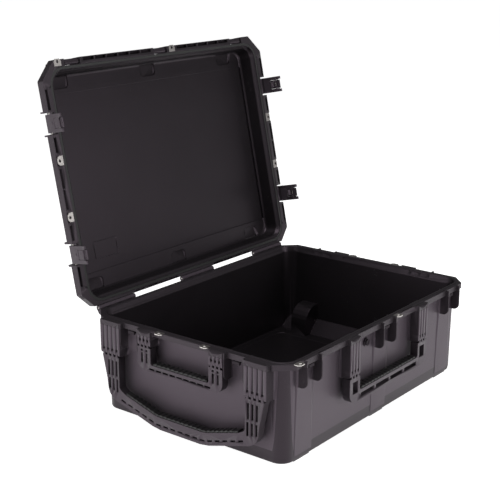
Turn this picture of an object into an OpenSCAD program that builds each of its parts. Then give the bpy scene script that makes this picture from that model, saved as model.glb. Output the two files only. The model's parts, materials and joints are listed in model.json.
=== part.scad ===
// Wheeled transport case with a hinged lid, seven trigger latches, a tow handle and three carry handles.
// Length runs along X with the wheels at +X, the front is at -Y and the hinge at +Y.
// The case stands on z = 0.
// The lid and all that is on it are drawn closed, and then turned open about the hinge.

/* [Base] */
// Half length of the rim opening
rim_x = 440; // [430:1:446]
// Half width of the rim opening
rim_y = 318; // [312:1:322]
// Height of the rim above the ground
base_h = 280; // [270:1:300]
// Wall thickness
wall = 4.5; // [4:0.1:5]
// How far the walls lean in from rim to floor
draft = 4; // [3:0.5:6]
// Height of the runners under the floor
runner_h = 3; // [3:0.5:5]

/* [Rim] */
// Half length over the base's flange
flange_x = 460; // [458:0.5:462]
// Half width over the base's flange
flange_y = 337; // [336:0.5:338]
// How far the corners of the base's flange are cut off
flange_cut = 42; // [36:1:46]
// How far the corners of the lid's flange are cut off
lid_cut = 52; // [44:1:56]
// Height of the outer lip of the base's flange
base_lip = 16; // [14:1:18]
// Height of the outer lip of the lid's flange
lid_lip = 22; // [20:1:24]

/* [Lid] */
// Inside depth of the lid
lid_depth = 57; // [50:1:60]
// Height of the stacking rails on top of the lid
rail_h = 12; // [6:1:12]
// How far the lid stands open
lid_open = 101.5; // [0:0.5:101.5]

/* [Latches] */
// Width of a latch
latch_w = 50; // [48:1:51]
// How far the latches of both ends stand off their closed place
end_rest = 9; // [9:1:160]
// How far the front latches are folded back
latch_back = 174; // [9:1:174]

/* [Handles] */
// Half length between the front handle's arms
front_arm_in = 150; // [140:1:155]
// Width of each front arm
front_arm_w = 48; // [44:1:50]
// Half width between the arms of the small end handles
end_arm_in = 100; // [98:1:102]
// Width of each small arm
end_arm_w = 45.5; // [44:0.5:45.5]
// Half width between the tow handle's brackets
tow_arm_in = 214; // [214:1:216]
// Width of each tow handle bracket
tow_arm_w = 70; // [68:1:71]
// Radius of the pivot lugs
lug_r = 9; // [8.5:0.1:9]

/* [Wheels] */
// Radius of a wheel over its tyre
wheel_r = 44; // [40:0.5:44]
// Width of a wheel
wheel_w = 36; // [30:1:40]
// Distance of each wheel from the middle
wheel_y = 221; // [215:1:225]

/* [Hidden] */
case_black = [0.17, 0.16, 0.17];
part_black = [0.12, 0.11, 0.12];
soft_black = [0.07, 0.07, 0.07];
steel = [0.78, 0.77, 0.75];
corner_steps = 10;
rim_r = 44;
corner_r = 6;
flange_t = 5;
slip = 0.05;
hinge_y = 343;
hinge_z = base_h + 3;
hinge_r = 7;
hinge_pin_r = 3;
hinge_len = 144;
hinge_lugs = 7;
hinge_x = [-350, 0, 350];
rear_y = hinge_y - hinge_r - 0.5;
lid_z = base_h + 1;
lid_top = lid_z + lid_depth + wall;
face_x = 474;
face_y = 349;
lid_x = 474;
lid_y = 347;
latch_x = [-356, 0, 356];
latch_y = 180;
latch_z = base_h + 12;
latch_in = 10;
latch_len = 72;
latch_eye_r = 6.5;
latch_pin_r = 2.5;
trigger_y = -5.5;
trigger_z = -54;
trigger_pin_r = 1.5;
hook_top = -41.5;
strike_low = latch_z - 38;
fin_in = 29.5;
fin_t = 4.5;
fin_short = 2;
fin_low = 206;
lid_fin_h = 44;
groove_in = 1;
groove_w = 8;
groove_h = 7;
plate_front = [-410, 52];
plate_end = 78;
plate_w = 26;
plate_t = 2.6;
plate_back = 8;
lock_hole_r = 4.5;
handle_pin_r = 2.5;
front_pivot_z = 180;
end_pivot_z = 244;
tow_pivot_z = 190;
pivot_in = 9;
arm_depth = 24;
grip_h = 7;
wheel_x = 418;
wheel_z = wheel_r + 3;
axle_r = 4;
well_r = wheel_r + 6;
well_w = wheel_w + 14;
vent_x = -75;
vent_z = 233;
tow_low = 10;
tow_flat = 84;
tow_rise = 0.286;
tow_bar_h = 36;
latch_names = concat(
  ["front_left", "front_mid", "front_right"],
  ["tow_front", "tow_rear", "wheel_front", "wheel_rear"]
);

// ---- outlines and plain solids ----

// A rectangle with round corners, as a ring of points
function ring(hx, hy, r) = [
  for (q = [0:3])
    for (i = [0:corner_steps])
      let (a = 90 * q + 90 * i / corner_steps)
      let (sx = (q == 0 || q == 3) ? 1 : -1)
      let (sy = q < 2 ? 1 : -1)
      [sx * (hx - r) + r * cos(a), sy * (hy - r) + r * sin(a)]
];

// A rectangle with its corners cut off by c, as a ring of points rounded by corner_r
function cut_ring(hx, hy, c) = [
  for (q = [0:3])
    for (i = [0:5])
      let (a = 90 * q + 22.5 * (i < 3 ? i : i - 1))
      let (sx = (q == 0 || q == 3) ? 1 : -1)
      let (sy = q < 2 ? 1 : -1)
      let (beside = (i < 3) != (q == 1 || q == 3))
      let (far = c + corner_r * 0.414)
      [
        sx * (hx - (beside ? corner_r : far)) + corner_r * cos(a),
        sy * (hy - (beside ? far : corner_r)) + corner_r * sin(a)
      ]
];

// A half outline in X and Z, joined to its mirror image
function mirrored(half) = concat(half, [for (i = [len(half) - 1:-1:0]) [-half[i][0], half[i][1]]]);

// A quarter of a circle from angle a0 to a1
function arc(cx, cz, r, a0, a1) = [
  for (i = [0:6])
    let (a = a0 + (a1 - a0) * i / 6)
    [cx + r * cos(a), cz + r * sin(a)]
];

// Joins rings at rising heights into one closed solid
module loft(rings, heights) {
  n = len(rings[0]);
  levels = len(rings);
  points = [for (k = [0:levels - 1]) for (p = rings[k]) [p[0], p[1], heights[k]]];
  sides = [
    for (k = [0:levels - 2])
      for (i = [0:n - 1])
        let (j = (i + 1) % n)
        [k * n + i, (k + 1) * n + i, (k + 1) * n + j, k * n + j]
  ];
  low = [for (i = [0:n - 1]) i];
  high = [for (i = [0:n - 1]) levels * n - 1 - i];
  polyhedron(points, concat([low], sides, [high]));
}

// A tub from z0 up to z1 with a rounded lower edge, leaning in towards the floor; hx and hy are taken at z1
module tub(z0, z1, hx, hy, r, edge, lean, steps) {
  turns = [for (k = [0:steps]) 90 * k / steps];
  inset = concat([for (a = turns) edge * (1 - sin(a))], [0]);
  high = concat([for (a = turns) z0 + edge * (1 - cos(a))], [z1]);
  rings = [
    for (k = [0:steps + 1])
      let (d = inset[k] + lean * (z1 - high[k]) / (z1 - z0))
      ring(hx - d, hy - d, r - 0.6 * d)
  ];
  loft(rings, high);
}

// The same tub turned over, so that its rounded edge is on top
module lid_tub(z0, z1, hx, hy, r, edge, lean, steps) {
  translate([0, 0, z0 + z1]) mirror([0, 0, 1]) tub(z0, z1, hx, hy, r, edge, lean, steps);
}

// A flat frame with round corners, between two offsets from the rim opening
module rim_ring(z, h, outer, inner) {
  translate([0, 0, z]) linear_extrude(h) difference() {
    polygon(ring(rim_x + outer, rim_y + outer, rim_r + outer));
    polygon(ring(rim_x + inner, rim_y + inner, rim_r + inner));
  }
}

// The outer edge of a flange that reaches hx and hy, with cut corners
module lip_ring(z, h, hx, hy, cut) {
  translate([0, 0, z]) linear_extrude(h) difference() {
    polygon(cut_ring(hx, hy, cut));
    polygon(cut_ring(hx - wall, hy - wall, cut - 0.59 * wall));
  }
}

// A flat plate from inner outside the rim opening out to a flange's edge
module flange_plate(z, h, inner, hx, hy, cut) {
  translate([0, 0, z]) linear_extrude(h) difference() {
    polygon(cut_ring(hx, hy, cut));
    polygon(ring(rim_x + inner, rim_y + inner, rim_r + inner));
  }
}

module box(x0, x1, y0, y1, z0, z1) {
  translate([x0, y0, z0]) cube([x1 - x0, y1 - y0, z1 - z0]);
}

// A round bar along X
module rod_x(x0, x1, y, z, r) {
  translate([x0, y, z]) rotate([0, 90, 0]) cylinder(r = r, h = x1 - x0, $fn = 48);
}

// A round bar along Z
module rod_z(x, y, z0, z1, r) {
  translate([x, y, z0]) cylinder(r = r, h = z1 - z0, $fn = 48);
}

// A plate from x0 to x1 whose outline is drawn in Y and Z
module plate_x(x0, x1) {
  translate([x0, 0, 0]) rotate([90, 0, 90]) linear_extrude(x1 - x0) children();
}

// A plate from y0 back to y1 whose outline is drawn in X and Z
module plate_y(y0, y1) {
  translate([0, y1, 0]) rotate([90, 0, 0]) linear_extrude(y1 - y0) children();
}

// ---- places: what is drawn for the front is turned to the two ends ----

module on_tow_end(along) {
  translate([0, along, 0]) rotate([0, 0, -90]) children();
}

module on_wheel_end(along) {
  translate([0, along, 0]) rotate([0, 0, 90]) children();
}

module both_sides() {
  for (s = [0, 1]) mirror([s, 0, 0]) children();
}

module lid_place() {
  translate([0, hinge_y, hinge_z]) rotate([-lid_open, 0, 0]) translate([0, -hinge_y, -hinge_z]) children();
}

// Where latch i sits: 0 to 2 on the front, 3 and 4 on the tow end, 5 and 6 on the wheel end
module latch_seat(i) {
  if (i < 3) translate([latch_x[i], 0, 0]) children();
  if (i == 3) on_tow_end(-latch_y) children();
  if (i == 4) on_tow_end(latch_y) children();
  if (i == 5) on_wheel_end(-latch_y) children();
  if (i == 6) on_wheel_end(latch_y) children();
}
function face_of(i) = i < 3 ? face_y : face_x;
function back_of(i) = i < 3 ? rim_y - 4 : rim_x - 4;
function swing_of(i) = i < 3 ? latch_back : end_rest;

// Puts a piece drawn about a closed latch's pivot onto the open lid
module latch_place(i) {
  lid_place() latch_seat(i)
    translate([0, -(face_of(i) - latch_in), latch_z]) rotate([-swing_of(i), 0, 0]) children();
}

// ---- base ----

// Two fins beside a latch, and the strike that its hook catches
module base_bay(i) {
  face = face_of(i);
  back = back_of(i);
  r = 16;
  for (s = [-1, 1]) {
    x = s * (fin_in + fin_t / 2) - fin_t / 2;
    plate_x(x, x + fin_t) polygon(concat(
      [[-back, base_h], [-back, fin_low]],
      arc(-face + fin_short + r, fin_low + r, r, 270, 180),
      [[-face + fin_short, base_h]]
    ));
  }
  bar = face - latch_in - 2;
  box(-3, 3, 3 - bar, -back, strike_low, base_h - 3);
  box(-11, 11, -bar, 7 - bar, strike_low, strike_low + 8);
}

function lug_count(w) = w > 60 ? 9 : 7;

// A handle bracket: a grooved block above a row of pivot lugs, every second place left for the handle
module bracket(x0, w, face, back, pivot_z) {
  n = lug_count(w);
  pitch = w / n;
  pivot = face - pivot_in;
  low = pivot_z + lug_r + 3;
  difference() {
    union() {
      difference() {
        box(x0, x0 + w, -face, -back, low, base_h - 1);
        for (k = [1:2:n - 2]) {
          groove = x0 + (k + 0.5) * pitch - 1.5;
          box(groove, groove + 3, -face - 1, -face + 8, low - 1, base_h - 14);
        }
      }
      for (k = [0:2:n - 1]) {
        a = x0 + k * pitch + 0.3;
        b = x0 + (k + 1) * pitch - 0.3;
        rod_x(a, b, -pivot, pivot_z, lug_r);
        box(a, b, -face, -pivot + lug_r, pivot_z, low + 1);
        box(a, b, -pivot, -back, pivot_z - lug_r, low + 1);
      }
    }
    rod_x(x0 + 2, x0 + w - 2, -pivot, pivot_z, handle_pin_r + 0.02);
  }
}

module base_brackets() {
  both_sides() bracket(front_arm_in, front_arm_w, face_y, rim_y - 4, front_pivot_z);
  on_tow_end(0) both_sides() {
    bracket(end_arm_in, end_arm_w, face_x, rim_x - 4, end_pivot_z);
    bracket(tow_arm_in, tow_arm_w, face_x, rim_x - 4, tow_pivot_z);
  }
  on_wheel_end(0) both_sides() bracket(end_arm_in, end_arm_w, face_x, rim_x - 4, end_pivot_z);
}

// The wedge between the wheel end's wall and the floor
module end_wedge(x, z) {
  run = 36;
  rise = 42;
  plate_y(-rim_y, rim_y) polygon([[x - run - 7, z - 8], [x, z + rise], [x + 30, z + rise], [x + 30, z - 8]]);
}

// Floor and walls with the flared rim opening
module base_tub() {
  floor_top = runner_h + wall - 1;
  difference() {
    union() {
      tub(runner_h - 1, base_h - 2, rim_x - 2, rim_y - 2, rim_r - 4, 6, draft, 4);
      rim_ring(base_h - 18, 18, 6, -6);
    }
    difference() {
      tub(floor_top, base_h + 1, rim_x - 2 - wall, rim_y - 2 - wall, rim_r - 8, 5, draft, 4);
      end_wedge(rim_x - 8 - wall, floor_top);
    }
    loft(
      [ring(rim_x - 7, rim_y - 7, rim_r - 8), ring(rim_x, rim_y, rim_r), ring(rim_x, rim_y, rim_r)],
      [base_h - 18, base_h - 9, base_h + 1]
    );
    end_wedge(rim_x - 5, runner_h - 1);
    translate([-25, 0, floor_top - 1.2]) linear_extrude(3) polygon(ring(375, 285, 24));
  }
}

// Flange with its lip, the tongue that presses into the gasket, and the slots along its front
module base_flange() {
  difference() {
    union() {
      flange_plate(base_h - flange_t, flange_t, 0, flange_x, flange_y, flange_cut);
      lip_ring(base_h - base_lip, base_lip, flange_x, flange_y, flange_cut);
      rim_ring(base_h - 0.5, 2, groove_in + 6, groove_in + 2);
    }
    box(-500, 500, rear_y, rear_y + 30, base_h - 30, base_h + 10);
    for (x = [-295, -100, 110, 300])
      box(x - 29, x + 29, -flange_y + 2.5, -flange_y + 6, base_h - 8, base_h + 1);
  }
}

// Pads that run up the front and rear walls over each runner, and the runners themselves
module runners() {
  proud = 1.2;
  top = base_h - 12;
  foot = rim_y - draft - 5;
  for (x = latch_x) {
    box(x - 33, x + 33, -foot, foot, 0, runner_h + 2);
    for (s = [0, 1]) mirror([0, s, 0])
      plate_x(x - 37, x + 37) polygon([
        [foot, 16], [foot + 3 + proud, 16], [rim_y - 2 + proud, top], [rim_y - 5, top]
      ]);
  }
}

// Housing of one wheel inside the case
module wheel_hump(y) {
  r = well_r + 4;
  half = well_w / 2 + 4;
  plate_y(y - half, y + half) polygon(concat(
    [[wheel_x - r, runner_h]],
    arc(wheel_x, wheel_z, r, 180, 90),
    [[rim_x - 5, wheel_z + r], [rim_x - 5, runner_h + 10], [rim_x - 12, runner_h]]
  ));
}

module wheel_well(y) {
  half = well_w / 2;
  plate_y(y - half, y + half) polygon(concat(
    [[wheel_x - well_r, -1]],
    arc(wheel_x, wheel_z, well_r, 180, 90),
    [[rim_x + 20, wheel_z + well_r], [rim_x + 20, -1]]
  ));
}

// Hinge lugs of one half; which is 0 for the base and 1 for the lid
module hinge_lug_row(which) {
  pitch = hinge_len / hinge_lugs;
  dir = which == 0 ? -1 : 1;
  for (c = hinge_x) difference() {
    union() for (k = [which:2:hinge_lugs - 1]) {
      a = c - hinge_len / 2 + k * pitch + 0.3;
      b = a + pitch - 0.6;
      rod_x(a, b, hinge_y, hinge_z, hinge_r);
      plate_x(a, b) polygon([
        [rear_y - 3, hinge_z + dir * 20], [rear_y - 3, hinge_z + dir * 3.4],
        [hinge_y - hinge_r, hinge_z + dir * 3.4],
        [hinge_y - hinge_r, hinge_z], [hinge_y + hinge_r, hinge_z], [hinge_y + hinge_r, hinge_z + dir * 3],
        [hinge_y - 2, hinge_z + dir * 17]
      ]);
    }
    bore = hinge_pin_r + (which == 0 ? 0.02 : 0.06);
    rod_x(c - hinge_len / 2 - 1, c + hinge_len / 2 + 1, hinge_y, hinge_z, bore);
  }
}

// Seats in the flange for the steel lock plates, from z0 to z1
module lock_seats(z0, z1) {
  half = plate_w / 2 + 0.4;
  depth = plate_back + 0.4;
  for (x = plate_front) box(x - half, x + half, -face_y - 2, depth - flange_y, z0, z1);
  for (y = [-plate_end, plate_end]) {
    on_tow_end(y) box(-half, half, -face_x - 2, depth - flange_x, z0, z1);
    on_wheel_end(y) box(-half, half, -face_x - 2, depth - flange_x, z0, z1);
  }
}

// Room above the lid's lock plates for a shackle: open at the front, behind the lip at the ends
module shackle_room(z0, z1) {
  for (x = plate_front) box(x - 9, x + 9, -face_y - 2, 1 - flange_y, z0, z1);
  for (y = [-plate_end, plate_end]) {
    on_tow_end(y) box(-9, 9, 4 - lid_x, 1 - flange_x, z0, z1);
    on_wheel_end(y) box(-9, 9, 4 - lid_x, 1 - flange_x, z0, z1);
  }
}

module base_shell() {
  color(case_black) difference() {
    union() {
      base_tub();
      base_flange();
      for (i = [0:6]) latch_seat(i) base_bay(i);
      base_brackets();
      runners();
      for (y = [-wheel_y, wheel_y]) wheel_hump(y);
      hinge_lug_row(0);
    }
    for (y = [-wheel_y, wheel_y]) {
      wheel_well(y);
      translate([wheel_x, y + 30, wheel_z]) rotate([90, 0, 0]) cylinder(r = axle_r + 0.02, h = 60, $fn = 48);
    }
    lock_seats(base_h - 3, base_h + 3);
    translate([vent_x, -rim_y + 20, vent_z]) rotate([90, 0, 0]) cylinder(r = 8.1, h = 40, $fn = 48);
  }
}

// ---- lid, drawn closed ----

// Pockets in the rim face of the lid, in rows of equal cells between x0 and x1, w wide
module pocket_row(x0, x1, edge, w) {
  n = round((x1 - x0) / 48);
  pitch = (x1 - x0) / n;
  for (k = [0:n - 1])
    box(x0 + k * pitch + 2, x0 + (k + 1) * pitch - 2, -edge + 2, -edge + 2 + w, lid_z - 1, lid_z + 10);
}

module rim_pockets() {
  for (span = [[-318, -38], [72, 318]]) pocket_row(span[0], span[1], lid_y, 9);
  for (span = [[-272, -80], [80, 272]]) mirror([0, 1, 0]) pocket_row(span[0], span[1], rear_y, 4.5);
  for (span = [[-274, -214], [-144, -98], [-58, 58], [98, 144], [214, 274]]) {
    on_tow_end(0) pocket_row(span[0], span[1], lid_x, 9);
    on_wheel_end(0) pocket_row(span[0], span[1], lid_x, 9);
  }
}

module lid_flange() {
  difference() {
    union() {
      flange_plate(lid_z, 12, -6, lid_x, lid_y, lid_cut);
      lip_ring(lid_z, lid_lip, lid_x, lid_y, lid_cut);
    }
    box(-500, 500, rear_y, rear_y + 30, lid_z - 2, lid_z + 30);
    for (i = [0:6]) latch_seat(i)
      box(-fin_in, fin_in, -face_of(i) - 2, latch_in + 11 - face_of(i), lid_z - 1, lid_z + 30);
    rim_pockets();
  }
}

// Fins that carry a latch pin
module lid_bay(i) {
  face = face_of(i);
  r = 14;
  for (s = [-1, 1]) {
    x = s * (fin_in + fin_t / 2) - fin_t / 2;
    plate_x(x, x + fin_t) polygon(concat(
      [[-back_of(i), lid_z], [-face + fin_short, lid_z]],
      arc(-face + fin_short + r, lid_z + lid_fin_h - r, r, 180, 90),
      [[-back_of(i), lid_z + lid_fin_h]]
    ));
  }
}

// Shallow pads in the ceiling beside the rim, and the label seat
module ceiling_marks(z) {
  step = 3;
  translate([0, 0, z - 1]) linear_extrude(step + 1) polygon(ring(rim_x - 14, 254, 4));
  for (x = latch_x) for (s = [-1, 1])
    translate([x - 10, s * 291, z - 1]) linear_extrude(step + 1) polygon(ring(32, 22, 12));
  translate([-299, 196, z]) linear_extrude(step + 1) polygon(ring(47, 25, 4));
}

module lid_shell_closed() {
  ceiling = lid_z + lid_depth;
  difference() {
    union() {
      lid_tub(lid_z + 6, lid_top, rim_x - 2, rim_y - 2, rim_r - 4, 13, 5, 8);
      lid_flange();
      for (i = [0:6]) latch_seat(i) lid_bay(i);
      hinge_lug_row(1);
      stacking_rails();
    }
    lid_tub(lid_z - 1, ceiling, rim_x - 2 - wall, rim_y - 2 - wall, rim_r - 8, 8, 5, 8);
    loft(
      [ring(rim_x, rim_y, rim_r), ring(rim_x, rim_y, rim_r), ring(rim_x - 7, rim_y - 7, rim_r - 8)],
      [lid_z - 1, lid_z + 6, lid_z + 14]
    );
    rim_ring(lid_z - 1, groove_h + 1, groove_in + groove_w, groove_in);
    ceiling_marks(ceiling);
    for (i = [0:6]) latch_seat(i)
      rod_x(-fin_in - fin_t - 1, fin_in + fin_t + 1, latch_in - face_of(i), latch_z, latch_pin_r + 0.02);
    lock_seats(lid_z - 1, lid_z + 3);
    shackle_room(lid_z - 1, lid_z + lid_lip + 1);
  }
}

// Raised frame on the lid that the runners of a case above stand inside
module stacking_rails() {
  for (x = [-200, 200]) translate([x, 0, lid_top - 1]) linear_extrude(rail_h + 1) difference() {
    polygon(ring(185, 262, 40));
    polygon(ring(173, 250, 28));
  }
}

module lid_shell() {
  color(case_black) lid_place() lid_shell_closed();
}

module lid_gasket() {
  w = 0.4;
  color(soft_black) lid_place() {
    rim_ring(lid_z + 1, groove_h - 1, groove_in + groove_w - w, groove_in + w);
  }
}

// ---- pins and plates ----

module hinge_pins() {
  color(steel) for (c = hinge_x)
    rod_x(c - hinge_len / 2 + 0.5, c + hinge_len / 2 - 0.5, hinge_y, hinge_z, hinge_pin_r);
}

module latch_pins() {
  end = fin_in + fin_t - 0.5;
  color(steel) lid_place() for (i = [0:6]) latch_seat(i)
    rod_x(-end, end, latch_in - face_of(i), latch_z, latch_pin_r);
}

module handle_pin(x0, w, face, pivot_z) {
  both_sides() rod_x(x0 + 2.5, x0 + w - 2.5, pivot_in - face, pivot_z, handle_pin_r);
}

module handle_pins() {
  color(steel) {
    handle_pin(front_arm_in, front_arm_w, face_y, front_pivot_z);
    on_tow_end(0) handle_pin(end_arm_in, end_arm_w, face_x, end_pivot_z);
    on_tow_end(0) handle_pin(tow_arm_in, tow_arm_w, face_x, tow_pivot_z);
    on_wheel_end(0) handle_pin(end_arm_in, end_arm_w, face_x, end_pivot_z);
  }
}

module wheel_axles() {
  len = well_w + 6;
  color(steel) for (y = [-wheel_y, wheel_y])
    translate([wheel_x, y + len / 2, wheel_z]) rotate([90, 0, 0]) cylinder(r = axle_r, h = len, $fn = 48);
}

// A steel tongue with a hole for a padlock, reaching out of the flange
module lock_plate(edge, face, z) {
  half = plate_w / 2;
  reach = face - edge + plate_back;
  hole = face - 7.5;
  difference() {
    translate([0, plate_back - edge, z]) mirror([0, 1, 0]) linear_extrude(plate_t)
      polygon([
        [-half, 0], [half, 0], [half, reach - 6],
        [half - 6, reach], [6 - half, reach], [-half, reach - 6]
      ]);
    rod_z(0, -hole, z - 1, z + plate_t + 1, lock_hole_r);
  }
}

module lock_plates(z) {
  for (x = plate_front) translate([x, 0, 0]) lock_plate(flange_y, face_y, z);
  for (y = [-plate_end, plate_end]) {
    on_tow_end(y) lock_plate(flange_x, face_x - 2, z);
    on_wheel_end(y) lock_plate(flange_x, face_x - 2, z);
  }
}

module base_lock_plates() {
  color(steel) lock_plates(base_h - 3);
}

module lid_lock_plates() {
  color(steel) lid_place() lock_plates(lid_z + 0.2);
}

// Pressure vent: flanged body through the front wall, with a cap
module vent_body() {
  wall_y = rim_y - 2 - draft * (base_h - vent_z) / base_h;
  color(part_black) translate([vent_x, 0, vent_z]) rotate([90, 0, 0]) {
    translate([0, 0, wall_y + 1]) cylinder(r = 12, h = 3.5, $fn = 64);
    translate([0, 0, wall_y - wall - 3]) cylinder(r = 8, h = wall + 5, $fn = 48);
    translate([0, 0, wall_y - wall - 6]) cylinder(r = 11, h = 4.5, $fn = 6);
  }
}

module vent_cap() {
  wall_y = rim_y - 2 - draft * (base_h - vent_z) / base_h;
  color(soft_black) translate([vent_x, 0, vent_z]) rotate([90, 0, 0]) difference() {
    translate([0, 0, wall_y + 4.5]) cylinder(r = 9, h = 4, $fn = 48);
    for (a = [0:60:150]) rotate([0, 0, a]) translate([-7, -0.8, wall_y + 7]) cube([14, 1.6, 3]);
  }
}

// ---- handles, drawn on the front ----

// Lugs on top of a handle arm, between those of its bracket
module arm_lugs(x0, w, face, pivot_z) {
  n = lug_count(w);
  pitch = w / n;
  pivot = face - pivot_in;
  for (k = [1:2:n - 2]) {
    a = x0 + k * pitch + 0.3;
    b = x0 + (k + 1) * pitch - 0.3;
    rod_x(a, b, -pivot, pivot_z, lug_r);
    box(a, b, -face, lug_r - pivot, pivot_z - lug_r - 3, pivot_z);
  }
}

// A handle: its outline cut from a thick plate, with lugs, slots and pivot bores
module handle_body(outer, inner, x0, w, face, pivot_z) {
  difference() {
    union() {
      plate_y(-face, arm_depth - face) polygon(concat(
        mirrored(outer),
        [for (p = mirrored(inner)) [-p[0], p[1]]]
      ));
      both_sides() arm_lugs(x0, w, face, pivot_z);
    }
    both_sides() rod_x(x0 - 1, x0 + w + 1, pivot_in - face, pivot_z, handle_pin_r + slip);
    children();
  }
}

// The rear of an arm is cored out, so that it is a channel with a web
module front_handle() {
  top = front_pivot_z - lug_r - 1.5;
  out = front_arm_in + front_arm_w;
  low = 98;
  bar_top = 128;
  outer = concat([[out, top]], arc(out - 30, low + 30, 30, 0, -90));
  inner = concat([[front_arm_in, top]], arc(front_arm_in - 8, bar_top + 8, 8, 0, -90));
  color(part_black) handle_body(outer, inner, front_arm_in, front_arm_w, face_y, front_pivot_z) {
    both_sides() {
      box(front_arm_in + 9, out - 14, -face_y - 1, 14 - face_y, 124, 158);
      box(front_arm_in + 6, out - 6, 17 - face_y, arm_depth + 1 - face_y, 122, top - 8);
      for (x = [0, 74]) box(x + 4, x + 70, -face_y - 1, 12 - face_y, low + 8, low + 20);
    }
  }
}

// A soft grip on a straight bar, ribbed across its top
module straight_grip(half, face, z, ribs) {
  pitch = 2 * half / ribs;
  difference() {
    plate_x(-half, half) polygon(concat(
      [[1 - face, z]],
      [[arm_depth - 1 - face, z]],
      arc(arm_depth - 7 - face, z + grip_h - 6, 6, 0, 90),
      arc(7 - face, z + grip_h - 6, 6, 90, 180)
    ));
    for (k = [0:ribs - 1]) {
      a = (k + 0.5) * pitch - half;
      box(a, a + pitch / 2, 3 - face, arm_depth - face + 1, z + grip_h - 2, z + grip_h + 1);
    }
  }
}

module front_grip() {
  color(soft_black) straight_grip(front_arm_in - 10, face_y, 128, 18);
}

// The small handle of either end
module small_handle() {
  top = end_pivot_z - lug_r - 1.5;
  out = end_arm_in + end_arm_w;
  low = 168;
  bar_top = 188;
  outer = concat([[out, top]], arc(out - 26, low + 26, 26, 0, -90));
  inner = concat([[end_arm_in, top]], arc(end_arm_in - 6, bar_top + 6, 6, 0, -90));
  color(part_black) handle_body(outer, inner, end_arm_in, end_arm_w, face_x, end_pivot_z) {
    both_sides() {
      for (x = [11, 27]) {
        box(end_arm_in + x, end_arm_in + x + 7, -face_x - 1, 13 - face_x, 190, 218);
        box(end_arm_in + x, end_arm_in + x + 7, -face_x - 1, 8 - face_x, 222, 228);
      }
      for (x = [1:4]) box(x * 24 - 10, x * 24 + 10, -face_x - 1, 12 - face_x, low + 6, low + 11);
    }
    box(-10, 10, -face_x - 1, 12 - face_x, low + 6, low + 11);
  }
}

module small_grip() {
  color(soft_black) straight_grip(end_arm_in - 8, face_x, 188, 12);
}

// The bowed lower edge of the tow handle at distance x from its middle
function tow_bow(x) = tow_low + tow_rise * max(0, abs(x) - tow_flat);

module tow_handle() {
  top = tow_pivot_z - lug_r - 1.5;
  outer = [
    [278, top], [263, 112], [260, 84], [255, 70], [246, 60], [232, tow_bow(232)], [98, tow_bow(98)],
    [tow_flat - 14, tow_low]
  ];
  inner = [
    [218, top], [218, 96], [215, 89], [208, 84], [196, tow_bow(196) + tow_bar_h],
    [92, tow_bow(92) + tow_bar_h], [tow_flat - 8, tow_low + tow_bar_h]
  ];
  color(part_black) handle_body(outer, inner, tow_arm_in, tow_arm_w, face_x, tow_pivot_z) {
    both_sides() {
      for (x = [224, 238, 252]) {
        box(x, x + 7, -face_x - 1, 14 - face_x, 124, 168);
        box(x - 1.5, x + 5.5, -face_x - 1, 14 - face_x, 78 + (x - 224) * 0.2, 116);
      }
      for (k = [1:8]) bow_slot(k * 25.5);
    }
    bow_slot(0);
  }
}

module bow_slot(x) {
  tilt = abs(x) > tow_flat ? atan(tow_rise) : 0;
  translate([x, -face_x - 1, tow_bow(x) + 13]) rotate([0, -tilt, 0])
    translate([-8.5, 0, -2.5]) cube([17, 13, 5]);
}

// Soft grip along the bow, ribbed across
module tow_grip() {
  end = 194;
  ribs = 26;
  edge = [[end, tow_bow(end)], [92, tow_bow(92)], [tow_flat - 8, tow_low]];
  low = [for (p = mirrored(edge)) [p[0], p[1] + tow_bar_h]];
  high = [for (i = [len(low) - 1:-1:0]) [low[i][0] * 0.985, low[i][1] + grip_h]];
  pitch = 2 * end / ribs;
  color(soft_black) difference() {
    on_tow_end(0) plate_y(1 - face_x, arm_depth - 1 - face_x) polygon(concat(low, high));
    on_tow_end(0) for (k = [1:ribs - 2]) {
      x = -end + (k + 0.5) * pitch;
      low = tow_bow(x) + tow_bar_h + grip_h - 2;
      box(x - pitch / 4, x + pitch / 4, 3 - face_x, arm_depth - face_x, low, 100);
    }
  }
}

// ---- wheels ----

module wheel_place(y) {
  translate([wheel_x, y, wheel_z]) rotate([90, 0, 0]) children();
}

module hub(y) {
  rim_w = wheel_w - 4;
  color(part_black) wheel_place(y) difference() {
    union() {
      translate([0, 0, -rim_w / 2]) cylinder(r = 30, h = rim_w, $fn = 96);
      translate([0, 0, -well_w / 2 + 1]) cylinder(r = 9, h = well_w - 2, $fn = 48);
    }
    translate([0, 0, -well_w]) cylinder(r = axle_r + slip, h = 2 * well_w, $fn = 48);
    for (s = [-1, 1]) translate([0, 0, s * (rim_w / 2 - 3) - 3]) difference() {
      cylinder(r = 26, h = 6, $fn = 96);
      cylinder(r = 12, h = 6, $fn = 48);
    }
  }
}

module tyre(y) {
  half = wheel_w / 2;
  color(soft_black) wheel_place(y) rotate_extrude($fn = 128)
    polygon([
      [30.05, -half + 2], [36, -half], [wheel_r - 4, -half], [wheel_r - 1.2, -half + 1.6],
      [wheel_r, -half + 5],
      [wheel_r, half - 5], [wheel_r - 1.2, half - 1.6], [wheel_r - 4, half], [36, half], [30.05, half - 2]
    ]);
}

// ---- latches, drawn closed about the pivot ----

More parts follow.
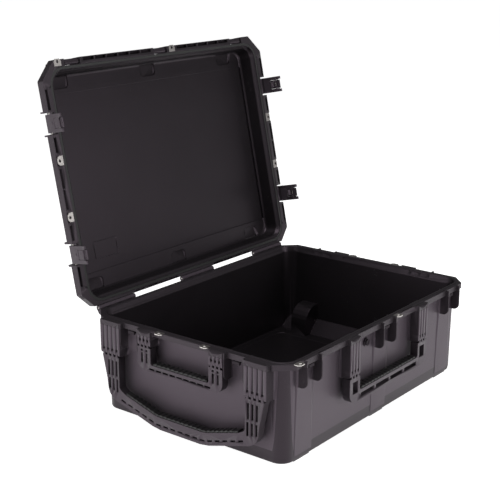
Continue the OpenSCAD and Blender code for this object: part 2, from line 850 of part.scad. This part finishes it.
module latch_body() {
  half = latch_w / 2;
  window = 14;
  color(part_black) difference() {
    union() {
      plate_x(-half, half) polygon([
        [-10, 8 - latch_len], [-10, 3], [-8.5, 6.5], [-4, 8.5], [0, latch_eye_r], [0, 0],
        [-4, -6], [-4, 8 - latch_len]
      ]);
      rod_x(-half, half, 0, 0, latch_eye_r);
      plate_y(-11, -9) translate([0, -23]) circle(r = 3.5, $fn = 48);
      for (s = [0, 1]) mirror([s, 0, 0]) {
        box(half - 4, half, -9, -1, -30, -2);
        rod_x(window, half, trigger_y, trigger_z, 3);
        plate_x(16, half) polygon([
          [-10, 12 - latch_len], [-11.5, 3 - latch_len], [-9, -latch_len],
          [-5, 3 - latch_len], [-4, 12 - latch_len]
        ]);
      }
    }
    box(-window, window, -12, 1, -latch_len - 1, -34);
    rod_x(-half - 1, half + 1, 0, 0, latch_pin_r + slip);
    rod_x(1 - half, half - 1, trigger_y, trigger_z, trigger_pin_r + 0.02);
  }
}

// Flush with the latch down to its finger end, which is set back
module trigger() {
  half = 13.4;
  color(part_black) difference() {
    union() {
      box(-half, half, -9.5, -5.5, -59, -35.5);
      rod_x(-half, half, trigger_y, trigger_z, 3);
      plate_x(-9, 9) polygon([[-6, -48], [-6, hook_top], [6, hook_top], [6, hook_top - 1.5], [1, -48]]);
      box(-half, half, -6.5, -3.5, 2 - latch_len, -56);
    }
    box(-5, 5, trigger_y - 3.1, 1, trigger_z - 3.6, trigger_z + 3.6);
    for (k = [0:2]) box(-10, 10, -7, -6, -68.5 + k * 3, -67 + k * 3);
    rod_x(-half - 1, half + 1, trigger_y, trigger_z, trigger_pin_r + slip);
  }
}

module trigger_pin() {
  end = latch_w / 2 - 1.5;
  color(steel) rod_x(-end, end, trigger_y, trigger_z, trigger_pin_r);
}

// A coil of round wire about the trigger pin
module trigger_spring() {
  coil_r = 2.3;
  wire_r = 0.4;
  turns = 5;
  steps = 60;
  sides = 6;
  width = 7;
  points = [
    for (i = [0:steps])
      let (a = 360 * turns * i / steps)
      for (k = [0:sides - 1])
        let (b = 360 * k / sides)
        let (r = coil_r + wire_r * cos(b))
        [-width / 2 + width * i / steps + wire_r * sin(b), r * cos(a), r * sin(a)]
  ];
  faces = [
    for (i = [0:steps - 1])
      for (k = [0:sides - 1])
        let (j = (k + 1) % sides)
        [i * sides + k, i * sides + j, (i + 1) * sides + j, (i + 1) * sides + k]
  ];
  first = [for (k = [sides - 1:-1:0]) k];
  last = [for (k = [0:sides - 1]) steps * sides + k];
  color(steel) translate([0, trigger_y, trigger_z]) polyhedron(points, concat([first], faces, [last]));
}

base_shell();
lid_shell();
lid_gasket();
hinge_pins();
latch_pins();
handle_pins();
wheel_axles();
base_lock_plates();
lid_lock_plates();
vent_body();
vent_cap();
on_tow_end(0) tow_handle();
tow_grip();
on_tow_end(0) small_handle();  // tow_end_handle
on_tow_end(0) small_grip();  // tow_end_grip
on_wheel_end(0) small_handle();  // wheel_end_handle
on_wheel_end(0) small_grip();  // wheel_end_grip
front_handle();
front_grip();
hub(-wheel_y);  // front_wheel_hub
tyre(-wheel_y);  // front_wheel_tyre
hub(wheel_y);  // rear_wheel_hub
tyre(wheel_y);  // rear_wheel_tyre
for (i = [0:6])
  latch_place(i) latch_body();
for (i = [0:6])
  latch_place(i) trigger();
for (i = [0:6])
  latch_place(i) trigger_pin();
for (i = [0:6])
  latch_place(i) trigger_spring();
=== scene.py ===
import json
import math

import bmesh
import bpy
from mathutils import Matrix, Vector


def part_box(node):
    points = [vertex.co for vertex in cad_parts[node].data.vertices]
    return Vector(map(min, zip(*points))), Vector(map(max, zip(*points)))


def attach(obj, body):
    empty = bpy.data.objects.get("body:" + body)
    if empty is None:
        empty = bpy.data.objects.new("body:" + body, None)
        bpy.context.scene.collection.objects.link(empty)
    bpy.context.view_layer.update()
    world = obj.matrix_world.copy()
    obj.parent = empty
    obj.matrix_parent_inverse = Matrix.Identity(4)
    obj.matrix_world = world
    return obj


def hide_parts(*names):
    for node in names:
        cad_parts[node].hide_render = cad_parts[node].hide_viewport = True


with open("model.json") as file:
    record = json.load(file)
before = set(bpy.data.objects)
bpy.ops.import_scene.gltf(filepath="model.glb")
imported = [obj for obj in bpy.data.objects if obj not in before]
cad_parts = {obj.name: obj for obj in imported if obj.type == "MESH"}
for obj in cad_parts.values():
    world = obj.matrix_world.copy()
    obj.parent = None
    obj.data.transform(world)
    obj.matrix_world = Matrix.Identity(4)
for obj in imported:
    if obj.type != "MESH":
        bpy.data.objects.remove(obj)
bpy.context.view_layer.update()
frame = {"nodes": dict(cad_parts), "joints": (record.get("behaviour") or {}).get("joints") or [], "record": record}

nodes = frame["nodes"]
ends = ["tow_front", "tow_rear", "wheel_front", "wheel_rear"]
fronts = ["front_left", "front_mid", "front_right"]
latchNames = fronts + ends
hinge = {"y": 0.343, "z": 0.283, "open": math.radians(101.5)}

# the camera and a soft studio
studio = {
    "camera": (-2.5532, -1.8671, 1.3172),
    "lookAt": (-0.0544, 0.0948, 0.4239),
    "lens": 83.0,
    "sensor": 36,
    "floor": 40.0,
    "ambient": 0.12,
    "lights": {
        "topSoftbox": ((-0.9, -0.5, 3.3), (-0.1, 0, 0.1), (2.4, 2.0), 70),
        "frontSoftbox": ((0.9, -3.4, 1.1), (0.0, 0, 0.15), (1.6, 1.2), 46),
        "sideSoftbox": ((-3.4, 1.2, 1.0), (-0.3, 0, 0.15), (1.8, 1.4), 44),
    },
}


def aim(obj, place, target):
    obj.location = place
    obj.rotation_euler = (Vector(target) - Vector(place)).to_track_quat("-Z", "Y").to_euler()


def addLight(name, place, target, size, power):
    data = bpy.data.lights.new(name, "AREA")
    data.shape = "RECTANGLE"
    data.size, data.size_y = size
    data.energy = power
    lamp = bpy.data.objects.new(name, data)
    bpy.context.collection.objects.link(lamp)
    aim(lamp, place, target)


def makeStudio(s):
    cam = bpy.data.objects.new("camera", bpy.data.cameras.new("camera"))
    bpy.context.collection.objects.link(cam)
    cam.data.lens = s["lens"]
    cam.data.sensor_width = s["sensor"]
    aim(cam, s["camera"], s["lookAt"])
    bpy.context.scene.camera = cam
    for name, (place, target, size, power) in s["lights"].items():
        addLight(name, place, target, size, power)
    world = bpy.data.worlds.new("studio")
    world.use_nodes = True
    tree = world.node_tree
    ambient = tree.nodes["Background"]
    ambient.inputs["Color"].default_value = (1, 1, 1, 1)
    ambient.inputs["Strength"].default_value = s["ambient"]
    # the backdrop is white to the camera, and much dimmer to the case
    backdrop = tree.nodes.new("ShaderNodeBackground")
    backdrop.inputs["Color"].default_value = (1, 1, 1, 1)
    rays = tree.nodes.new("ShaderNodeLightPath")
    mix = tree.nodes.new("ShaderNodeMixShader")
    tree.links.new(rays.outputs["Is Camera Ray"], mix.inputs[0])
    tree.links.new(ambient.outputs[0], mix.inputs[1])
    tree.links.new(backdrop.outputs[0], mix.inputs[2])
    tree.links.new(mix.outputs[0], tree.nodes["World Output"].inputs["Surface"])
    bpy.context.scene.world = world
    bpy.context.scene.view_settings.view_transform = "Standard"
    print("studio ready")


makeStudio(studio)


# wraps a socket, so that sums and masks read as plain expressions
class Link:
    def __init__(self, mat, socket):
        self.mat = mat
        self.socket = socket

    def maths(self, kind, a, b, clamp=False):
        return self.mat.add("ShaderNodeMath", {"operation": kind, "use_clamp": clamp}, [a, b])

    def __add__(self, other):
        return self.maths("ADD", self, other)

    def __radd__(self, other):
        return self.maths("ADD", other, self)

    def __sub__(self, other):
        return self.maths("SUBTRACT", self, other)

    def __rsub__(self, other):
        return self.maths("SUBTRACT", other, self)

    def __mul__(self, other):
        return self.maths("MULTIPLY", self, other)

    def __rmul__(self, other):
        return self.maths("MULTIPLY", other, self)

    def __truediv__(self, other):
        return self.maths("DIVIDE", self, other)

    def __gt__(self, other):
        return self.maths("GREATER_THAN", self, other)

    def __lt__(self, other):
        return self.maths("LESS_THAN", self, other)

    def high(self, other):
        return self.maths("MAXIMUM", self, other)

    def clamp(self):
        return self.maths("ADD", self, 0.0, clamp=True)

    def size(self):
        return self.maths("ABSOLUTE", self, 0.0)

    def ramp(self, a, b):
        # 0 at a, 1 at b, held outside them
        return ((self - a) / (b - a)).clamp()


# one material: its shader, and the nodes that feed it
class Paint:
    def __init__(self, name, **sockets):
        self.material = bpy.data.materials.new(name)
        self.material.use_nodes = True
        self.tree = self.material.node_tree
        self.shader = self.tree.nodes["Principled BSDF"]
        for key, value in sockets.items():
            self.shader.inputs[key.replace("_", " ")].default_value = value

    def add(self, kind, settings=None, values=(), out=0):
        made = self.tree.nodes.new(kind)
        for key, value in (settings or {}).items():
            if key == "stops":
                self.setStops(made, value)
            else:
                setattr(made, key, value)
        pairs = values.items() if isinstance(values, dict) else enumerate(values)
        for key, value in pairs:
            self.feed(made.inputs[key], value)
        return Link(self, made.outputs[out])

    def setStops(self, made, stops):
        ramp = made.color_ramp
        while len(ramp.elements) < len(stops):
            ramp.elements.new(0.5)
        for element, (place, colour) in zip(ramp.elements, stops):
            element.position = place
            element.color = colour

    def feed(self, socket, value):
        if isinstance(value, Link):
            self.tree.links.new(value.socket, socket)
        else:
            socket.default_value = value

    def coords(self):
        return self.add("ShaderNodeTexCoord", out="Object")

    def axes(self):
        split = self.add("ShaderNodeSeparateXYZ", {}, [self.coords()])
        parts = split.socket.node.outputs
        return [Link(self, parts[k]) for k in range(3)]

    def noise(self, scale, detail=3.0, rough=0.5, warp=0.0, stretch=None):
        place = self.coords()
        if stretch:
            place = self.add("ShaderNodeMapping", {}, {"Vector": place, "Scale": stretch})
        values = {"Vector": place, "Scale": scale, "Detail": detail, "Roughness": rough, "Distortion": warp}
        return self.add("ShaderNodeTexNoise", {}, values)

    def blend(self, mask, a, b):
        # a mix node's colour inputs are 6 and 7, and its colour output is 2
        return self.add("ShaderNodeMix", {"data_type": "RGBA"}, {0: mask, 6: a, 7: b}, out=2)

    def rounded(self, radius):
        return self.add("ShaderNodeBevel", {"samples": 4}, {"Radius": radius})

    def bump(self, height, strength, distance, under=None):
        values = {"Height": height, "Strength": strength, "Distance": distance}
        if under:
            values["Normal"] = under
        return self.add("ShaderNodeBump", {}, values)

    def set(self, **links):
        for key, value in links.items():
            self.feed(self.shader.inputs[key.replace("_", " ")], value)


def grey(v, warm=0.0):
    return (v * (1 + warm), v * (1 - 0.6 * warm), v * (1 + 0.9 * warm), 1)


# the inside grey is painted shade: the same moulding painted far darker inside than outside
shellLook = {"outside": 0.040, "inside": 0.0060, "rim": 0.015, "grain": 1500, "round": 0.0020}
# painted shade for the recesses: how much of the near-black grey covers them, and that grey
recessShadeLook = {"cover": 0.85, "grey": 0.004}
sheen = (1, 0.80, 0.97, 1)

# where the finish and the painted shade change, in metres; heights in the lid are taken with the lid shut
zones = {
    "wallX": 0.4345,
    "wallY": 0.3125,
    "baseInside": 0.2795,
    "lidInside": (0.001, 0.0600),
    "baseFlange": (0.2637, 0.2825),
    "lidFlange": (-0.003, 0.0215),
    "endBand": (0.4430, 0.4725),
    "frontBand": (-0.3475, -0.3210),
    "endPockets": (0.4622, 0.4725),
    "frontPockets": (-0.3455, -0.3355),
    "pocketHeight": (-0.0008, 0.012),
    "pocketsAbove": 0.3,
}


def within(value, low, high):
    return (value > low) * (value < high)


def lidFrame(y, z):
    # a point's depth and height as they are when the lid is shut
    turn = hinge["open"]
    back = (y - hinge["y"]) * math.cos(turn) - (z - hinge["z"]) * math.sin(turn)
    up = (y - hinge["y"]) * math.sin(turn) + (z - hinge["z"]) * math.cos(turn)
    return back + hinge["y"], up


def insideMask(p):
    # 1 on the inner walls of the base and of the open lid, 0 outside
    x, y, z = p.axes()
    shutY, up = lidFrame(y, z)
    base = (x.size() < zones["wallX"]) * (y.size() < zones["wallY"]) * (z < zones["baseInside"])
    lid = (x.size() < zones["wallX"]) * (shutY.size() < zones["wallY"]) * within(up, *zones["lidInside"])
    return base.high(lid)


def rimMask(p):
    # 1 on the flanges of the base and of the lid, which are painted a deeper black than the walls as painted shade
    y, z = p.axes()[1:]
    up = lidFrame(y, z)[1]
    lid = within(up, *zones["lidFlange"]) * (z > zones["baseFlange"][1])
    return within(z, *zones["baseFlange"]).high(lid)


def recessShadeMask(p):
    # 1 on what stands back from the outer faces: fins, sides of brackets and arms, slots and rim pockets; these
    # get painted shade, a near-black grey laid where shade falls
    x, y, z = p.axes()
    shutY, up = lidFrame(y, z)
    ends = within(x.size(), *zones["endBand"])
    front = within(y, *zones["frontBand"])
    pockets = within(x.size(), *zones["endPockets"]).high(within(shutY, *zones["frontPockets"]))
    pockets = pockets * within(up, *zones["pocketHeight"])
    below = ends.high(front) * (z < zones["baseFlange"][0])
    return below.high(pockets * (z > zones["pocketsAbove"]))


def makeShellPaint(look):
    # spark-eroded outside, smoother inside and painted far darker there as painted shade, with scuffs, flow marks
    # and dust
    p = Paint("mouldedShell", IOR=1.5, Specular_IOR_Level=0.34, Specular_Tint=sheen)
    inside = insideMask(p)
    recessShade = recessShadeMask(p)
    grain = p.noise(look["grain"], 2)
    flow = p.noise(4.0, 4, 0.6, 0.8)
    scuff = p.noise(60, 5, 0.7, 1.2, (1, 1, 4)).ramp(0.60, 0.74)
    scratch = p.noise(34, 3, 0.5, 3.0, (9, 1, 1)).ramp(0.66, 0.70) * p.noise(7, 2).ramp(0.5, 0.6)
    dust = p.noise(420, 2, 0.8).ramp(0.70, 0.76) * p.noise(9, 3).ramp(0.45, 0.7)
    outer = p.blend(flow, grey(look["outside"] * 0.85, 0.13), grey(look["outside"] * 1.15, 0.13))
    outer = p.blend(scuff * 0.35, outer, grey(look["outside"] * 2.1, 0.04))
    inner = p.blend(flow, grey(look["inside"] * 0.8, 0.07), grey(look["inside"] * 1.2, 0.07))
    # painted shade: the flanges take a darker grey than the walls
    outer = p.blend(rimMask(p), outer, grey(look["rim"], 0.08))
    # painted shade: the inner walls take a far darker grey than the outside of the same moulding
    colour = p.blend(inside, outer, inner)
    # painted shade: fins, bracket sides, slots and rim pockets painted near black
    colour = p.blend(recessShade * recessShadeLook["cover"], colour, grey(recessShadeLook["grey"], 0.05))
    colour = p.blend(scratch * 0.25 + dust * 0.3, colour, grey(0.085, 0.03))
    rough = 0.37 + flow * 0.1 + scuff * 0.1 + grain * 0.06 - inside * 0.06 - scratch * 0.1 + recessShade * 0.3
    normal = p.bump(grain * (1 - inside * 0.5), 0.3, 0.0004, p.rounded(look["round"]))
    p.set(Base_Color=colour, Roughness=rough, Normal=normal)
    return p.material


def makeFittingPaint():
    p = Paint("mouldedFitting", IOR=1.5, Specular_IOR_Level=0.4, Specular_Tint=sheen)
    recessShade = recessShadeMask(p)
    grain = p.noise(1900, 2)
    cloud = p.noise(12, 4, 0.6)
    scuff = p.noise(110, 5, 0.7, 0.8).ramp(0.62, 0.75)
    colour = p.blend(cloud, grey(0.018, 0.12), grey(0.026, 0.12))
    colour = p.blend(scuff * 0.35, colour, grey(0.06, 0.05))
    # painted shade in the same recesses of the fittings
    colour = p.blend(recessShade * recessShadeLook["cover"], colour, grey(recessShadeLook["grey"], 0.05))
    normal = p.bump(grain, 0.2, 0.0003, p.rounded(0.0009))
    p.set(Base_Color=colour, Roughness=0.36 + cloud * 0.14 + scuff * 0.12 + recessShade * 0.32, Normal=normal)
    return p.material


def makeGripPaint():
    p = Paint("softGrip", IOR=1.45)
    grain = p.noise(2600, 3)
    dust = p.noise(35, 5, 0.65).ramp(0.5, 0.8)
    colour = p.blend(dust * 0.5, grey(0.006, 0.03), grey(0.018, 0.03))
    p.set(Base_Color=colour, Roughness=0.44 + dust * 0.25,
          Normal=p.bump(grain, 0.35, 0.0004, p.rounded(0.0008)))
    return p.material


def makeSteelPaint():
    p = Paint("stampedSteel", Metallic=1.0)
    brush = p.noise(500, 4, 0.6, 0.0, (1, 8, 8))
    tarnish = p.noise(90, 4, 0.6).ramp(0.45, 0.8)
    colour = p.blend(tarnish * 0.5, (0.46, 0.435, 0.42, 1), (0.20, 0.19, 0.18, 1))
    p.set(Base_Color=colour, Roughness=0.30 + brush * 0.14 + tarnish * 0.12,
          Normal=p.bump(brush, 0.12, 0.0002, p.rounded(0.0003)))
    return p.material


def makeGasketPaint():
    p = Paint("gasketRubber", IOR=1.45)
    grain = p.noise(1400, 3)
    p.set(Base_Color=p.blend(grain, grey(0.010), grey(0.018)), Roughness=0.55 + grain * 0.15,
          Normal=p.bump(grain, 0.3, 0.0003))
    return p.material


def makeTyrePaint():
    p = Paint("wheelTyre", IOR=1.45)
    wear = p.noise(70, 5, 0.7).ramp(0.45, 0.75)
    grain = p.noise(900, 3)
    p.set(Base_Color=p.blend(wear, grey(0.016), grey(0.05, 0.02)), Roughness=0.6 + wear * 0.2,
          Normal=p.bump(grain, 0.4, 0.0005, p.rounded(0.0012)))
    return p.material


shellPaint = makeShellPaint(shellLook)
fittingPaint = makeFittingPaint()
gripPaint = makeGripPaint()
steelPaint = makeSteelPaint()
gasketPaint = makeGasketPaint()
tyrePaint = makeTyrePaint()
print("finishes ready")


mergeGap = 0.00001


def bodyOf(name):
    for body, members in frame["record"]["behaviour"]["bodies"].items():
        if name in members:
            return body
    return None


def slotOf(name):
    for row in frame["record"]["subparts"]:
        if row["node"] == name:
            return row["material_slot"]
    return None


def finishMesh(bm, name, paint, smooth=28):
    mesh = bpy.data.meshes.new(name)
    bm.to_mesh(mesh)
    bm.free()
    mesh.polygons.foreach_set("use_smooth", [True] * len(mesh.polygons))
    mesh.set_sharp_from_angle(angle=math.radians(smooth))
    mesh.materials.append(paint)
    obj = bpy.data.objects.new(name, mesh)
    bpy.context.collection.objects.link(obj)
    even = obj.modifiers.new("evenShading", "WEIGHTED_NORMAL")
    even.keep_sharp = True
    return obj


def standFor(obj, node):
    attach(obj, bodyOf(node))
    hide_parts(node)
    slotOf(node)


def smoothCopy(name, paint, smooth=28):
    # a merged, smooth-shaded copy of a CAD node that stands for it
    bm = bmesh.new()
    bm.from_mesh(nodes[name].data)
    bmesh.ops.remove_doubles(bm, verts=bm.verts, dist=mergeGap)
    bmesh.ops.dissolve_degenerate(bm, dist=mergeGap, edges=bm.edges)
    standFor(finishMesh(bm, name + "_skin", paint, smooth), name)


for name in ["base_shell", "lid_shell"]:
    smoothCopy(name, shellPaint, 22)
fittings = ["tow_handle", "tow_end_handle", "wheel_end_handle", "front_handle"]
fittings += ["front_wheel_hub", "rear_wheel_hub", "vent_body", "vent_cap"]
fittings += ["latch_" + n for n in latchNames] + ["trigger_" + n for n in latchNames]
for name in fittings:
    smoothCopy(name, fittingPaint)
smoothCopy("lid_gasket", gasketPaint)
steels = ["hinge_pins", "latch_pins", "handle_pins", "wheel_axles", "base_lock_plates", "lid_lock_plates"]
steels += ["trigger_pin_" + n for n in latchNames]
for name in steels:
    smoothCopy(name, steelPaint)
print("moulded and steel pieces ready")


def addBlock(bm, place, size, turn, rounding, segments):
    # a cube with rounded edges, turned about X
    matrix = Matrix.Translation(place) @ Matrix.Rotation(turn, 4, "X") @ Matrix.Diagonal((*size, 1))
    made = bmesh.ops.create_cube(bm, size=1, matrix=matrix)
    edges = list({e for v in made["verts"] for e in v.link_edges})
    bmesh.ops.bevel(bm, geom=edges, offset=rounding, offset_type="OFFSET", segments=segments,
                    profile=0.5, material=-1, affect="EDGES")


gripLook = {"pitch": 0.0152, "rib": 0.62, "proud": 0.0021, "side": 0.001, "core": 0.0028, "cuts": 40,
            "ribRound": 0.0016, "ribShort": 0.0012}
bow = {"flat": 0.084, "rise": 0.286}


def bowRise(y):
    return bow["rise"] * max(0.0, abs(y) - bow["flat"])


def makeGrip(node, look, rise=None):
    # a soft bar with a row of round-edged ribs across its top, built along Y
    lo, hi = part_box(node)
    alongX = hi[0] - lo[0] > hi[1] - lo[1]
    turn = Matrix.Rotation(math.radians(-90 if alongX else 0), 4, "Z")
    centre = (Vector(lo) + Vector(hi)) / 2
    half = (hi[0] - lo[0] if alongX else hi[1] - lo[1]) / 2
    wide = hi[1] - lo[1] if alongX else hi[0] - lo[0]
    rise = rise or (lambda y: 0.0)
    thick = hi[2] - lo[2] - rise(half)
    base = lo[2]
    bm = bmesh.new()
    coreSize = (wide - 2 * look["side"], 2 * half, thick - look["proud"], 1)
    bmesh.ops.create_cube(bm, size=1, matrix=Matrix.Diagonal(coreSize))
    long = [e for e in bm.edges if abs(e.verts[0].co.y - e.verts[1].co.y) > half]
    upper = [e for e in long if e.verts[0].co.z > 0]
    bmesh.ops.bevel(bm, geom=upper, offset=look["core"], offset_type="OFFSET", segments=4,
                    profile=0.5, material=-1, affect="EDGES")
    long = [e for e in bm.edges if abs(e.verts[0].co.y - e.verts[1].co.y) > half]
    bmesh.ops.subdivide_edges(bm, edges=long, cuts=look["cuts"], use_grid_fill=True)
    for v in bm.verts:
        v.co.z += (thick - look["proud"]) / 2 + rise(v.co.y)
    count = round(2 * half / look["pitch"])
    pitch = 2 * half / count
    for k in range(count):
        y = (k + 0.5) * pitch - half
        if rise(half) and abs(y) > half - pitch * 0.9:
            continue
        slope = math.atan((rise(y + 0.002) - rise(y - 0.002)) / 0.004)
        size = (wide, pitch * look["rib"], thick - look["ribShort"])
        place = (0, y, look["ribShort"] / 2 + size[2] / 2 + rise(y))
        addBlock(bm, place, size, slope, look["ribRound"], 3)
    bmesh.ops.transform(bm, matrix=Matrix.Translation((centre.x, centre.y, base)) @ turn, verts=bm.verts)
    bmesh.ops.recalc_face_normals(bm, faces=bm.faces)
    standFor(finishMesh(bm, node + "_ribbed", gripPaint, 50), node)


for name in ["tow_end_grip", "wheel_end_grip", "front_grip"]:
    makeGrip(name, gripLook)
makeGrip("tow_grip", gripLook, bowRise)
print("grips ready")

tyreLook = {"inner": 0.03005, "bead": 0.036, "beadInset": 0.002, "shoulder": 0.0026, "groove": 0.0012,
            "treads": (0.0065, 0.0055, 0.0035, 0.0025), "steps": 96}


def makeTyre(node, look):
    lo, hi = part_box(node)
    centre = (Vector(lo) + Vector(hi)) / 2
    r = (hi[2] - lo[2]) / 2
    half = (hi[1] - lo[1]) / 2
    q = look["shoulder"]
    g = look["groove"]
    t = look["treads"]
    side = [(look["inner"], half - look["beadInset"]), (look["bead"], half), (r - q * 1.6, half),
            (r - q * 0.5, half - q * 0.5), (r, half - q * 1.8),
            (r, t[0]), (r - g, t[1]), (r - g, t[2]), (r, t[3])]
    outline = side + [(a, -b) for a, b in reversed(side)]
    bm = bmesh.new()
    verts = [bm.verts.new((a, b, 0)) for a, b in outline]
    edges = [bm.edges.new((verts[k], verts[(k + 1) % len(verts)])) for k in range(len(verts))]
    bmesh.ops.spin(bm, geom=verts + edges, cent=(0, 0, 0), axis=(0, 1, 0), angle=math.tau,
                   steps=look["steps"], use_merge=True)
    bmesh.ops.remove_doubles(bm, verts=bm.verts, dist=mergeGap)
    bmesh.ops.recalc_face_normals(bm, faces=bm.faces)
    bmesh.ops.transform(bm, matrix=Matrix.Translation(centre), verts=bm.verts)
    standFor(finishMesh(bm, node + "_tread", tyrePaint, 32), node)


makeTyre("front_wheel_tyre", tyreLook)
makeTyre("rear_wheel_tyre", tyreLook)

springLook = {"wire": 0.0004, "coil": 0.0023, "turns": 5, "steps": 24, "length": 0.007}


def makeSpring(name, look):
    # a coil of round wire, wound about the trigger's own axis
    node = "trigger_spring_" + name
    joint = next(j for j in frame["joints"] if j["name"] == "trigger_" + name + "_press")
    axis = Vector(joint["axis"])
    length = look["length"]
    bm = bmesh.new()
    start = Matrix.Translation((0, look["coil"], 0)) @ Matrix.Rotation(math.pi / 2, 4, "Y")
    ring = bmesh.ops.create_circle(bm, cap_ends=False, segments=8, radius=look["wire"], matrix=start)
    edges = list({e for v in ring["verts"] for e in v.link_edges})
    steps = look["turns"] * look["steps"]
    bmesh.ops.spin(bm, geom=ring["verts"] + edges, cent=(0, 0, 0), axis=(1, 0, 0),
                   dvec=(length / steps, 0, 0), angle=look["turns"] * math.tau, steps=steps, use_merge=False)
    bmesh.ops.transform(bm, matrix=Matrix.Translation((-length / 2, 0, 0)), verts=bm.verts)
    bmesh.ops.holes_fill(bm, edges=[e for e in bm.edges if e.is_boundary])
    bmesh.ops.recalc_face_normals(bm, faces=bm.faces)
    matrix = Matrix.Translation(joint["pos_m"]) @ axis.to_track_quat("X", "Z").to_matrix().to_4x4()
    bmesh.ops.transform(bm, matrix=matrix, verts=bm.verts)
    standFor(finishMesh(bm, node + "_coil", steelPaint, 60), node)


for name in latchNames:
    makeSpring(name, springLook)
print("wheels and springs ready")


floorLook = {"grey": (0.93, 0.93, 0.93, 1), "pale": (0.96, 0.96, 0.96, 1), "glow": 0.9}


def makeFloor(half, look):
    # it glows a little, so that it meets the backdrop without an edge
    bm = bmesh.new()
    bmesh.ops.create_grid(bm, x_segments=1, y_segments=1, size=half)
    p = Paint("paleFloor", Roughness=0.9)
    p.set(Base_Color=p.blend(p.noise(3), look["grey"], look["pale"]))
    p.set(Emission_Color=(1, 1, 1, 1), Emission_Strength=look["glow"])
    floor = finishMesh(bm, "floor", p.material)


makeFloor(studio["floor"], floorLook)
